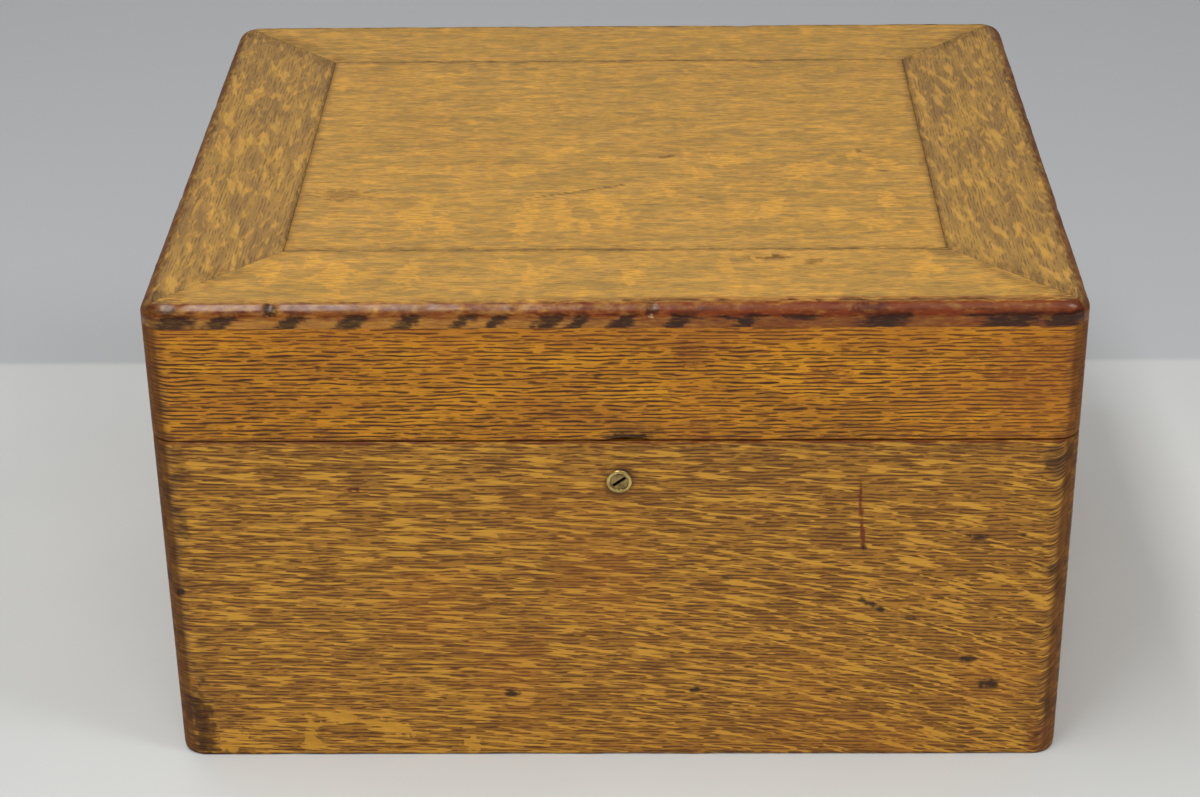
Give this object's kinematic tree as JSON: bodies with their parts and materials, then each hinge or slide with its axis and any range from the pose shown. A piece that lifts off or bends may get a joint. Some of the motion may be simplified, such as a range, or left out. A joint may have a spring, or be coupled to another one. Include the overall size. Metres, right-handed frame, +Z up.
{
  "type": "silverware chest",
  "caption": "Oak silverware chest with a hinged, framed lid, a key lock in the front and a lift-out cutlery tray over a lined well.",
  "frame": {"origin": "middle of the chest's footprint, on the surface that it stands on", "axes": "+X to the chest's right as one faces the lock, +Y to its back, where the hinges are, +Z up"},
  "size_m": [0.56, 0.48, 0.32],
  "materials": {
    "oak": "quarter-sawn oak, amber varnish, worn at the edges",
    "oak_panel": "plain oak panel, thin varnish",
    "oak_spline": "raw oak",
    "tray_oak": "oak, satin varnish",
    "baize": "dark green baize glued on card",
    "baize_board": "thin board wrapped in dark green baize",
    "hinge_brass": "old brass, brushed, dull",
    "brass_screw": "old brass, turned",
    "lock_face_brass": "old brass, bright on the rim, brown in the hollows",
    "lock_brass": "brass plate, brushed"
  },
  "bodies": {
    "case": {"case_front_board": "oak", "case_back_board": "oak", "case_left_board": "oak", "case_right_board": "oak", "case_bottom_panel": "oak_panel", "case_corner_splines": "oak_spline", "tray_bearer_left": "tray_oak", "tray_bearer_right": "tray_oak", "bearer_screws": "brass_screw", "well_lining_front": "baize", "well_lining_back": "baize", "well_lining_left": "baize", "well_lining_right": "baize", "well_lining_floor": "baize", "hinge_left_case_leaf": "hinge_brass", "hinge_right_case_leaf": "hinge_brass", "hinge_left_pin": "hinge_brass", "hinge_right_pin": "hinge_brass", "case_hinge_screws": "brass_screw", "lock_plate": "lock_brass", "lock_screws": "brass_screw", "lock_case": "lock_brass", "lock_barrel": "lock_face_brass"},
    "lid": {"lid_front_rail": "oak", "lid_back_rail": "oak", "lid_left_rail": "oak", "lid_right_rail": "oak", "lid_corner_splines": "oak_spline", "top_frame_front": "oak", "top_frame_back": "oak", "top_frame_left": "oak", "top_frame_right": "oak", "top_frame_splines": "oak_spline", "top_panel": "oak", "lid_lining_front": "baize", "lid_lining_back": "baize", "lid_lining_left": "baize", "lid_lining_right": "baize", "lid_lining_top": "baize", "hinge_left_lid_leaf": "hinge_brass", "hinge_right_lid_leaf": "hinge_brass", "lid_screws": "brass_screw", "lock_link_plate": "lock_brass", "lock_staples": "lock_brass"},
    "lock_plug": {"lock_plug": "lock_face_brass", "lock_cam": "lock_brass"},
    "lock_bolt": {"lock_bolt": "lock_brass"},
    "tray": {"tray_front": "tray_oak", "tray_back": "tray_oak", "tray_left_end": "tray_oak", "tray_right_end": "tray_oak", "tray_bottom": "oak_panel", "tray_lining": "baize", "knife_side_partition": "baize_board", "knife_end_partition": "baize_board", "cell_cross_partition": "baize_board", "cell_column_partitions": "baize_board", "knife_rack_front": "baize_board", "knife_rack_back": "baize_board"}
  },
  "joints": [
    {"name": "lid_hinge", "type": "hinge", "parent": "case", "child": "lid", "pos_m": [0, 0.2392, 0.23], "axis": [-1, 0, 0], "range_deg": [0, 95]},
    {"name": "lock_plug_turn", "type": "hinge", "parent": "case", "child": "lock_plug", "pos_m": [0.0025, -0.236, 0.202], "axis": [0, 1, 0], "range_deg": [0, 90]},
    {"name": "lock_bolt_slide", "type": "slide", "parent": "case", "child": "lock_bolt", "axis": [1, 0, 0], "range_m": [0, 0.00778]},
    {"name": "tray_lift", "type": "slide", "parent": "case", "child": "tray", "axis": [0, 0, 1], "range_m": [0, 0.064]}
  ],
  "couplings": [
    {"joint": "lock_bolt_slide", "follows": "lock_plug_turn", "m_per_rad": 0.00495}
  ]
}
